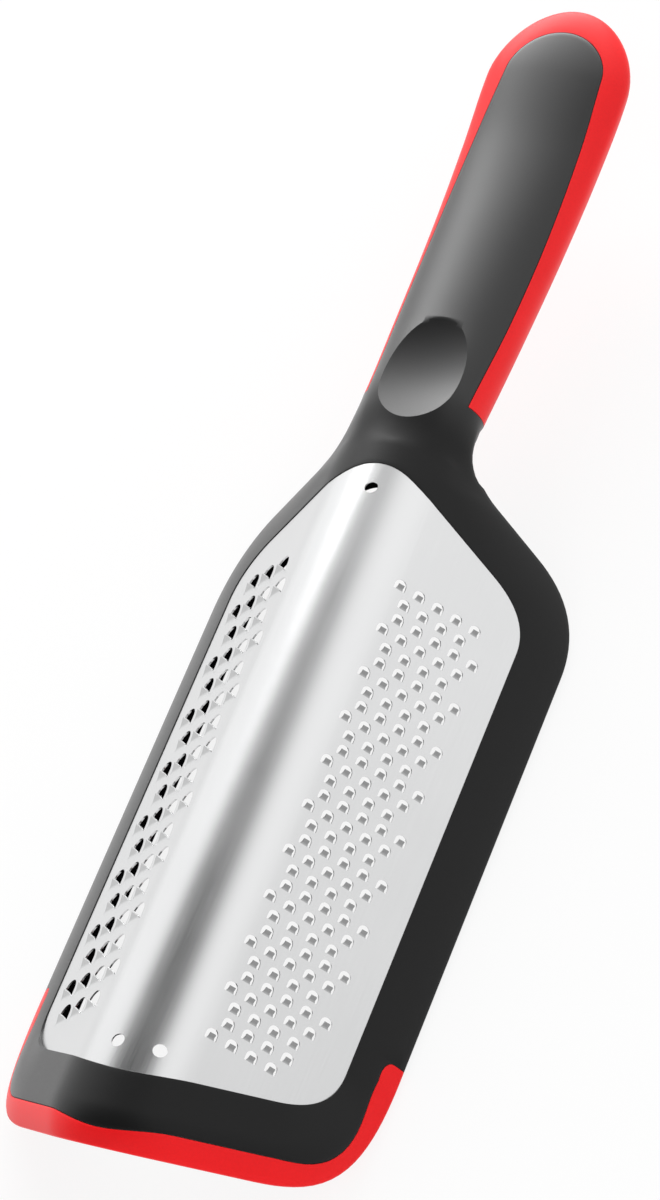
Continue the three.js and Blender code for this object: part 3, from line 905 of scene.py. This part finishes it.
def outer_points(station):
    """Outer wall of the frame and the place where its crown starts."""
    if station.foot:
        edge = station.foot_edge() + PIECE_GAP
        wall = station.wrap() + PIECE_GAP
        ledge = -FOOT_STRIP_DEPTH - PIECE_GAP
        points = [
            (wall, -FRAME_DEPTH),
            (wall, ledge),
            (edge, ledge),
            (edge, station.top(edge) - SEAM_DEPTH),
            (edge, station.top(edge) - SEAM_DIP),
        ]
        start = edge + SEAM_BEVEL
    else:
        points = [(EDGE_ROUND, -FRAME_DEPTH), (0.0, EDGE_ROUND - FRAME_DEPTH)] + station.edge_curve()
        start = EDGE_ROUND
    return [station.point(*point) for point in points], start


def frame_row(station):
    """Closed section of the frame."""
    walls, start = outer_points(station)
    return walls + crown_points(station, start) + lip_points(station)


def foot_row(station):
    """Closed section of the foot: what wraps under, outer wall and top strip."""
    edge = station.foot_edge()
    wall = station.wrap()
    points = [(edge, -FOOT_STRIP_DEPTH), (wall, -FOOT_STRIP_DEPTH), (wall, -FRAME_DEPTH)]
    for inward, up in FOOT_CURVE:
        points.append((inward * FOOT_WRAP, up * FOOT_LOWER_ROUND - FRAME_DEPTH))
    points += station.edge_curve()
    points += [(spot, station.top(spot)) for spot in spread(EDGE_ROUND, edge - SEAM_BEVEL, STRIP_STEPS)]
    points.append((edge, station.top(edge) - SEAM_DIP))
    return [station.point(*point) for point in points]


def ring_row(station):
    """Closed section of the clamp ring under the steel."""
    high = -SHEET_ROOM - 2 * PIECE_GAP
    low = -RING_PROUD - FRAME_DEPTH
    inset = RING_INSET - RING_BACK_CUT * max(0.0, station.outward.y) ** 2
    corners = [
        (BLADE_TUCK, high),
        (-inset, high),
        (-inset, low + RING_CHAMFER),
        (RING_CHAMFER - inset, low),
        (BLADE_TUCK - RING_CHAMFER, low),
        (BLADE_TUCK, low + RING_CHAMFER),
    ]
    return [station.beside(*corner) for corner in corners]


# Handle


def handle_stations(start):
    """Places down the right side of the handle, as along the spine and turned round its end."""
    places = [start]
    if start < GRIP_START:
        places = spread(start, GRIP_START, NECK_STEPS) + [GRIP_START + GRIP_STEP]
    places += spread(places[-1], SPINE_END, SPINE_STEPS)[1:]
    stations = [(along, 0.0) for along in places]
    return stations + [(SPINE_END, turn) for turn in spread(0.0, math.pi / 2, TIP_STEPS)[1:]]


def insert_share(along, turn):
    """Share of the handle's half width that the hard top takes."""
    if turn == 0.0:
        half = between(INSERT_HALVES, along)[0]
        return half / between(HANDLE_SECTIONS, along)[0]
    side = between(INSERT_HALVES, SPINE_END)[0] / between(HANDLE_SECTIONS, SPINE_END)[0]
    nose = (INSERT_END - SPINE_END) / TIP_ROUND
    return 1 / math.hypot(math.cos(turn) / side, math.sin(turn) / nose)


def handle_point(along, turn, angle, drop=0.0):
    """Point of the handle's surface, turned from the top of the spine round to its base."""
    reach = math.sin(angle)
    spot = along + TIP_ROUND * reach * math.sin(turn)
    half, middle, top, base = between(HANDLE_SECTIONS, spot)
    fullness = abs(math.cos(angle)) ** (1 - (1 - TIP_BLUNTNESS) * math.sin(turn) ** 2)
    height = (top - middle) * fullness if angle <= math.pi / 2 else (base - middle) * fullness
    return place(half * reach * math.cos(turn), spot, middle + height - drop)


def under_spine(along, turn, level):
    """Point at a level straight under the top of the spine."""
    spot = handle_point(along, turn, 0.0)
    spot.z = level
    return spot


def core_row(along, turn):
    """Half section of the black core: hard top, then its side and base, or what the grip hides."""
    rim = math.asin(insert_share(along, turn))
    points = [handle_point(along, turn, angle) for angle in spread(0.0, rim, INSERT_STEPS)[:-1]]
    if along <= GRIP_START:
        side = spread(rim, math.pi, CORE_SIDE_STEPS)
        return points + [handle_point(along, turn, angle) for angle in side]
    bottom = handle_point(along, turn, rim, INSERT_DEPTH)
    spine = under_spine(along, turn, bottom.z)
    points += [handle_point(along, turn, rim, drop) for drop in (SEAM_DIP, SEAM_WALL)]
    return points + [bottom.lerp(spine, t) for t in spread(0.0, 1.0, CORE_FLOOR_STEPS)]


def grip_row(along, turn):
    """Half section of the soft grip: the recess under the hard top, its rim, side and base."""
    half = between(HANDLE_SECTIONS, along)[0]
    rim = math.asin(min(insert_share(along, turn) + PIECE_GAP / half, RIM_LIMIT))
    corner = handle_point(along, turn, rim, INSERT_DEPTH + 2 * PIECE_GAP)
    spine = under_spine(along, turn, corner.z)
    points = [spine.lerp(corner, t) for t in spread(0.0, 1.0, GRIP_FLOOR_STEPS)]
    points += [handle_point(along, turn, rim, drop) for drop in (SEAM_WALL, SEAM_DIP)]
    side = spread(rim, math.pi, GRIP_SIDE_STEPS)[1:]
    return points + [handle_point(along, turn, angle) for angle in side]


def handle_mesh(row, start):
    """Loft of half sections down one side, round the end and back up the other."""
    rows = [row(along, turn) for along, turn in handle_stations(start)]
    rows += [mirrored(points) for points in reversed(rows[:-1])]
    return close_ends(loft(rows))


def dimple_mesh():
    """Hollow for the thumb, as the body that is cut away."""
    up = DIMPLE_LIFT + DIMPLE_DEPTH
    rim = math.sqrt(1 - (DIMPLE_LIFT / up) ** 2)
    mesh = bmesh.new()
    bmesh.ops.create_uvsphere(mesh, u_segments=DIMPLE_SIDES, v_segments=DIMPLE_RINGS, radius=1.0)
    size = Vector((DIMPLE_WIDTH / 2, DIMPLE_LENGTH / 2 / rim, up)) * MM
    bmesh.ops.scale(mesh, vec=size, verts=mesh.verts)
    centre = place(0.0, DIMPLE_PLACE, DIMPLE_LEVEL + DIMPLE_LIFT)
    bmesh.ops.translate(mesh, vec=centre, verts=mesh.verts)
    return mesh


# Finishes


class Value:
    """A shader socket in an expression. Each operator adds a Math node."""

    def __init__(self, graph, socket):
        self.graph = graph
        self.socket = socket

    def __add__(self, other):
        return self.graph.math("ADD", self, other)

    __radd__ = __add__

    def __sub__(self, other):
        return self.graph.math("SUBTRACT", self, other)

    def __rsub__(self, other):
        return self.graph.math("SUBTRACT", other, self)

    def __mul__(self, other):
        return self.graph.math("MULTIPLY", self, other)

    __rmul__ = __mul__

    def swing(self, amount):
        """Noise made to vary evenly about nought."""
        return (self - 0.5) * amount


class Graph:
    """Nodes of one material or world."""

    def __init__(self, tree):
        self.tree = tree
        tree.nodes.clear()

    def node(self, kind, settings=None, sockets=None, output=0):
        """Adds a node, with its settings first and then its sockets. Returns one output."""
        node = self.tree.nodes.new(kind)
        for name, value in (settings or {}).items():
            setattr(node, name, value)
        for name, value in (sockets or {}).items():
            if isinstance(value, Value):
                self.tree.links.new(value.socket, node.inputs[name])
            else:
                node.inputs[name].default_value = value
        if not node.outputs:
            return None
        return Value(self, node.outputs[output])

    def math(self, operation, first, second):
        return self.node("ShaderNodeMath", {"operation": operation}, {0: first, 1: second})

    def mix(self, factor, first, second):
        """Colour between two colours."""
        return self.node(
            "ShaderNodeMix", {"data_type": "RGBA"}, {0: factor, 6: first, 7: second}, output=2
        )

    def coordinates(self):
        """Place on the object, in metres."""
        return self.node("ShaderNodeTexCoord", output="Object")

    def ray(self, kind):
        """Whether a point is reached by one kind of ray."""
        return self.node("ShaderNodeLightPath", output=f"Is {kind} Ray")

    def length_from(self, low, high):
        """Rises from nought to one between two places along the object."""
        return self.remap(self.along(self.coordinates(), (0.0, 1.0, 0.0)), low, high)

    def noise(self, scale, detail, roughness=0.5, stretch=(1.0, 1.0, 1.0)):
        """Noise on the object's own coordinates, in features per metre."""
        sockets = {"Vector": self.coordinates(), "Scale": stretch}
        mapped = self.node("ShaderNodeMapping", None, sockets)
        return self.node(
            "ShaderNodeTexNoise",
            {"noise_dimensions": "3D"},
            {"Vector": mapped, "Scale": scale, "Detail": detail, "Roughness": roughness},
        )

    def along(self, vector, direction):
        """How far a vector points in a direction."""
        settings = {"operation": "DOT_PRODUCT"}
        return self.node("ShaderNodeVectorMath", settings, {0: vector, 1: direction}, output="Value")

    def remap(self, value, low, high, start=0.0, end=1.0):
        """Rises or falls smoothly from start to end between two values."""
        return self.node(
            "ShaderNodeMapRange",
            {"interpolation_type": "SMOOTHSTEP"},
            {0: value, 1: low, 2: high, 3: start, 4: end},
        )

    def bump(self, height, strength, distance):
        sockets = {"Strength": strength, "Distance": distance, "Height": height}
        return self.node("ShaderNodeBump", None, sockets)

    def surface(self, sockets):
        shader = self.node("ShaderNodeBsdfPrincipled", None, sockets)
        self.node("ShaderNodeOutputMaterial", None, {"Surface": shader})


def new_material(name):
    """Empty material and its graph."""
    material = bpy.data.materials.new(name)
    material.use_nodes = True
    return material, Graph(material.node_tree)


def shade(colour, factor):
    """Colour made lighter or darker."""
    return tuple(min(1.0, part * factor) for part in colour[:3]) + (1.0,)


def steel_finish(settings):
    """Brushed stainless steel: fine lines along the blade, faint cloudy wear, and teeth darkened by
    painted shade.
    """
    material, graph = new_material("brushed_steel")
    brush = graph.noise(1.0, detail=3.0, roughness=0.6, stretch=BRUSH_LINES)
    hair = graph.noise(1.0, detail=2.0, roughness=0.6, stretch=HAIR_LINES)
    cloud = graph.noise(STEEL_CLOUDS, detail=3.0)
    lines = brush * BRUSH_SHARE + hair * (1 - BRUSH_SHARE)
    dark, light = (shade(settings.colour, factor) for factor in STEEL_SHADES)
    colour = graph.mix(lines * 0.5 + cloud * 0.5, dark, light)
    # Painted shade: the raised teeth are darkened in colour to stand for the shade on their tilted
    # faces
    rise = graph.node("ShaderNodeAttribute", {"attribute_name": "rise"}, output="Fac")
    painted_tooth_shade = graph.remap(rise, 0.0, TOOTH_PAINTED_SHADE_RISE)
    colour = graph.mix(painted_tooth_shade, colour, shade(settings.colour, TOOTH_PAINTED_SHADE))
    graph.surface(
        {
            "Base Color": colour,
            "Metallic": 1.0,
            "Roughness": settings.roughness + lines.swing(LINE_SWING) + cloud.swing(STEEL_CLOUD_SWING),
            "Normal": graph.bump(brush, BRUSH_STRENGTH, BRUSH_HEIGHT),
        }
    )
    return material


def plastic_finish(name, settings):
    """Moulded plastic with a fine even grain, shinier along the handle."""
    material, graph = new_material(name)
    handle = graph.length_from(*SATIN_ZONE)
    grain = graph.noise(settings.grain, detail=4.0, roughness=0.55)
    cloud = graph.noise(settings.grain / GRAINS_PER_CLOUD, detail=2.0)
    dark, light = (shade(settings.colour, factor) for factor in MOULD_SHADES)
    graph.surface(
        {
            "Base Color": graph.mix(grain * GRAIN_SHARE + cloud * (1 - GRAIN_SHARE), dark, light),
            "Roughness": settings.roughness + grain.swing(GRAIN_SWING) + cloud.swing(MOULD_CLOUD_SWING),
            "Specular IOR Level": settings.gloss,
            "Sheen Weight": settings.bloom,
            "Sheen Roughness": BLOOM_ROUGHNESS,
            "Coat Weight": (handle * (1 - SATIN_AHEAD) + SATIN_AHEAD) * settings.satin,
            "Coat Roughness": SATIN_ROUGHNESS,
            "Normal": graph.bump(grain, settings.grain_depth, GRAIN_HEIGHT),
        }
    )
    return material


def floor_finish(colour):
    """Pale floor that looks white and still takes the object's shadow."""
    material, graph = new_material("pale_floor")
    speckle = graph.noise(FLOOR_SPECKS, detail=2.0)
    base = graph.mix(speckle, shade(colour, FLOOR_SHADE), colour)
    diffuse = graph.node("ShaderNodeBsdfDiffuse", None, {"Color": base})
    white = graph.node("ShaderNodeEmission", None, {"Strength": 1.0})
    looked_at = graph.math("MAXIMUM", graph.ray("Camera"), graph.ray("Glossy"))
    looked_at = graph.math("MAXIMUM", looked_at, graph.ray("Transmission"))
    mixed = graph.node("ShaderNodeMixShader", None, {0: looked_at * FLOOR_GLOW, 1: diffuse, 2: white})
    graph.node("ShaderNodeOutputMaterial", None, {"Surface": mixed})
    return material


# Settings


def share(name, description, default):
    """Setting between nought and one."""
    return FloatProperty(
        name=name, description=description, default=default, min=0.0, max=1.0, subtype="FACTOR"
    )


def thickness(name, description, default):
    """Setting in metres, for what is a fraction of a millimetre."""
    return FloatProperty(
        name=name, description=description, default=default, unit="LENGTH", precision=5
    )


def power(name, description, default):
    """Setting for a lamp's power in watts."""
    return FloatProperty(name=name, description=description, default=default, min=0.0, unit="POWER")


def tint(name, description, default):
    """Colour setting."""
    return FloatVectorProperty(
        name=name, description=description, default=default, size=4, subtype="COLOR"
    )


def specks(default):
    """Setting for the fineness of a moulded grain."""
    return FloatProperty(name="Grain", description="Specks of moulded grain per metre", default=default)


class BladeSettings(bpy.types.PropertyGroup):
    """Sizes and finish of the steel."""

    sheet: thickness("Sheet", "Thickness of the steel", 0.00035)
    fine_rise: thickness("Fine teeth", "Height of the fine teeth", 0.0007)
    coarse_rise: thickness("Coarse teeth", "Height of the coarse teeth", 0.0011)
    colour: tint("Steel", "Colour of the steel", (0.73, 0.733, 0.737, 1.0))
    roughness: share("Roughness", "How matt the brushing is", 0.24)


class FrameSettings(bpy.types.PropertyGroup):
    """Finish of the hard black frame."""

    colour: tint("Black", "Colour of the frame", (0.004, 0.004, 0.0042, 1.0))
    roughness: share("Roughness", "How matt the frame is", 0.42)
    gloss: share("Gloss", "Reflection seen straight on", 0.16)
    bloom: share("Bloom", "Pale bloom seen at a slant", 0.22)
    satin: share("Satin", "Shine of the handle's top", 0.75)
    grain: specks(2600.0)
    grain_depth: share("Grain depth", "Strength of the grain", 0.1)


class RingSettings(bpy.types.PropertyGroup):
    """Finish of the clamp ring, which is dull."""

    colour: tint("Black", "Colour of the ring", (0.004, 0.004, 0.0042, 1.0))
    roughness: share("Roughness", "How matt the ring is", 0.6)
    gloss: share("Gloss", "Reflection seen straight on", 0.0)
    bloom: share("Bloom", "Pale bloom seen at a slant", 0.0)
    satin: share("Satin", "Shine of the ring", 0.0)
    grain: specks(2600.0)
    grain_depth: share("Grain depth", "Strength of the grain", 0.1)


class SoftSettings(bpy.types.PropertyGroup):
    """Finish of the soft red grip and foot."""

    colour: tint("Red", "Colour of the grip and foot", (0.9, 0.0105, 0.0135, 1.0))
    roughness: share("Roughness", "How matt the grip is", 0.46)
    gloss: share("Gloss", "Reflection seen straight on", 0.15)
    bloom: share("Bloom", "Pale bloom seen at a slant", 0.1)
    satin: share("Satin", "Shine of the grip", 0.1)
    grain: specks(2200.0)
    grain_depth: share("Grain depth", "Strength of the grain", 0.1)


class StageSettings(bpy.types.PropertyGroup):
    """Floor and light."""

    floor: tint("Floor", "Colour of the floor", (0.92, 0.92, 0.92, 1.0))
    sky: FloatProperty(name="Sky", description="Light from all round", default=1.18, min=0.0)
    lamp: power("Lamp", "Power of the soft lamp", 21.0)
    fill: power("Fill", "Power of the fill lamp", 6.0)
    lamp_size: FloatProperty(
        name="Lamp size", description="Width of each lamp", default=1.0, unit="LENGTH"
    )


# Pieces


class GRATER_OT_blade(bpy.types.Operator):
    """Makes the folded steel blade with its teeth"""

    bl_idname = "grater.blade"
    bl_label = "Steel blade"

    def execute(self, context):
        settings = context.scene.grater_blade
        piece = new_object("steel_blade", blade_mesh(settings))
        return finish_piece(piece, "grating_blade", steel_finish(settings), STEEL_SHARP)


class GRATER_OT_frame(bpy.types.Operator):
    """Makes the black frame with its neck and the hard top of the handle"""

    bl_idname = "grater.frame"
    bl_label = "Black frame"

    def execute(self, context):
        piece = new_object("black_frame", round_mesh(frame_row))
        combine(piece, new_object("core", handle_mesh(core_row, HANDLE_START)), "UNION")
        smooth_neck(piece)
        drop_doubled_faces(piece)
        combine(piece, new_object("dimple", dimple_mesh()), "DIFFERENCE")
        drop_doubled_faces(piece)
        finish = plastic_finish("moulded_black", context.scene.grater_frame)
        return finish_piece(piece, "upper_frame", finish, FRAME_SHARP)


class GRATER_OT_ring(bpy.types.Operator):
    """Makes the clamp ring under the steel"""

    bl_idname = "grater.ring"
    bl_label = "Clamp ring"

    def execute(self, context):
        piece = new_object("clamp_ring_part", round_mesh(ring_row))
        finish = plastic_finish("ring_black", context.scene.grater_ring)
        return finish_piece(piece, "clamp_ring", finish, RING_SHARP)


class GRATER_OT_grip(bpy.types.Operator):
    """Makes the soft red grip round the handle"""

    bl_idname = "grater.grip"
    bl_label = "Soft grip"

    def execute(self, context):
        piece = new_object("soft_grip", handle_mesh(grip_row, GRIP_START + PIECE_GAP))
        finish = plastic_finish("soft_red", context.scene.grater_soft)
        return finish_piece(piece, "handle_grip", finish, SOFT_SHARP)


class GRATER_OT_foot(bpy.types.Operator):
    """Makes the soft red foot round the front end"""

    bl_idname = "grater.foot"
    bl_label = "Soft foot"

    def execute(self, context):
        rows = [foot_row(station) for station in head_stations() if station.foot]
        rows = [mirrored(row) for row in reversed(rows[1:])] + rows
        piece = new_object("soft_foot", rest_flat(close_ends(loft(rows, round_columns=True))))
        finish = plastic_finish("soft_red_foot", context.scene.grater_soft)
        return finish_piece(piece, "front_foot", finish, SOFT_SHARP)


class GRATER_OT_stage(bpy.types.Operator):
    """Sets up the floor, the light and the camera"""

    bl_idname = "grater.stage"
    bl_label = "Stage"

    def execute(self, context):
        settings = context.scene.grater_stage
        scene = context.scene
        scene.view_settings.view_transform = "Standard"
        mesh = bmesh.new()
        bmesh.ops.create_grid(mesh, x_segments=4, y_segments=4, size=FLOOR_REACH)
        bmesh.ops.translate(mesh, vec=(0.0, 0.0, -FLOOR_GAP), verts=mesh.verts)
        floor = new_object("floor", mesh)
        floor.data.materials.append(floor_finish(settings.floor))
        self.add_sky(scene, settings)
        self.add_lamp(scene, "soft_lamp", SOFT_LAMP_PLACE, settings.lamp, settings.lamp_size)
        fill = self.add_lamp(scene, "fill_lamp", FILL_LAMP_PLACE, settings.fill, settings.lamp_size)
        fill.visible_glossy = False
        self.add_camera(scene)
        return {"FINISHED"}

    def add_sky(self, scene, settings):
        """Light from all round, with a dark patch overhead and less from the front and the right."""
        scene.world = bpy.data.worlds.new("studio")
        scene.world.use_nodes = True
        graph = Graph(scene.world.node_tree)
        direction = graph.node("ShaderNodeTexCoord", output="Generated")
        behind = graph.along(direction, BEHIND)
        aside = graph.along(direction, ASIDE)
        patch = graph.remap(graph.along(direction, PATCH_MIDDLE), *PATCH_ZONE)
        patch = patch * graph.remap(behind, *PATCH_FRONT_ZONE)
        level = (1.0 - patch) * graph.remap(behind, *FRONT_ZONE, FRONT_LEVEL, 1.0)
        level = level * graph.remap(aside, *ASIDE_ZONE, ASIDE_LEVEL, 1.0)
        bright = (settings.sky, settings.sky, settings.sky, 1.0)
        colour = graph.mix(level, BLACK, bright)
        light = graph.node("ShaderNodeBackground", None, {"Color": colour, "Strength": 1.0})
        white = graph.node("ShaderNodeBackground", None, {"Color": WHITE, "Strength": 1.0})
        mixed = graph.node("ShaderNodeMixShader", None, {0: graph.ray("Camera"), 1: light, 2: white})
        graph.node("ShaderNodeOutputWorld", None, {"Surface": mixed})

    def add_lamp(self, scene, name, spot, watts, size):
        """Wide soft lamp that faces the object."""
        data = bpy.data.lights.new(name, "AREA")
        data.shape = "RECTANGLE"
        data.size = size
        data.size_y = LAMP_ASPECT * size
        data.energy = watts
        lamp = bpy.data.objects.new(name, data)
        scene.collection.objects.link(lamp)
        lamp.location = spot
        aim = LAMP_AIM - lamp.location
        lamp.rotation_euler = aim.to_track_quat("-Z", "Y").to_euler()
        return lamp

    def add_camera(self, scene):
        """Camera at the photograph's angle."""
        data = bpy.data.cameras.new("camera")
        data.sensor_width = CAMERA_SENSOR
        data.lens = CAMERA_LENS
        data.clip_start = CAMERA_NEAR
        data.clip_end = CAMERA_FAR
        camera = bpy.data.objects.new("camera", data)
        scene.collection.objects.link(camera)
        back = CAMERA_RIGHT.cross(CAMERA_UP)
        turn = Matrix((CAMERA_RIGHT, CAMERA_UP, back)).transposed().to_4x4()
        camera.matrix_world = Matrix.Translation(CAMERA_PLACE) @ turn
        scene.camera = camera


class GRATER_PT_pieces(bpy.types.Panel):
    """Lists the pieces of the grater"""

    bl_idname = "GRATER_PT_pieces"
    bl_label = "Hand grater"
    bl_space_type = "VIEW_3D"
    bl_region_type = "UI"
    bl_category = "Grater"

    def draw(self, context):
        for operator in OPERATORS:
            self.layout.operator(operator.bl_idname)
        for name, group in SETTINGS.items():
            box = self.layout.box()
            for field in group.__annotations__:
                box.prop(getattr(context.scene, name), field)


OPERATORS = (
    GRATER_OT_blade,
    GRATER_OT_frame,
    GRATER_OT_ring,
    GRATER_OT_grip,
    GRATER_OT_foot,
    GRATER_OT_stage,
)
SETTINGS = {
    "grater_blade": BladeSettings,
    "grater_frame": FrameSettings,
    "grater_ring": RingSettings,
    "grater_soft": SoftSettings,
    "grater_stage": StageSettings,
}


def register():
    for name, group in SETTINGS.items():
        bpy.utils.register_class(group)
        setattr(bpy.types.Scene, name, PointerProperty(type=group))
    for operator in OPERATORS:
        bpy.utils.register_class(operator)
    bpy.utils.register_class(GRATER_PT_pieces)


def unregister():
    bpy.utils.unregister_class(GRATER_PT_pieces)
    for operator in reversed(OPERATORS):
        bpy.utils.unregister_class(operator)
    for name, group in SETTINGS.items():
        delattr(bpy.types.Scene, name)
        bpy.utils.unregister_class(group)


def main():
    register()
    bpy.ops.grater.blade()
    bpy.ops.grater.frame()
    bpy.ops.grater.ring()
    bpy.ops.grater.grip()
    bpy.ops.grater.foot()
    bpy.ops.grater.stage()


if __name__ == "__main__":
    main()
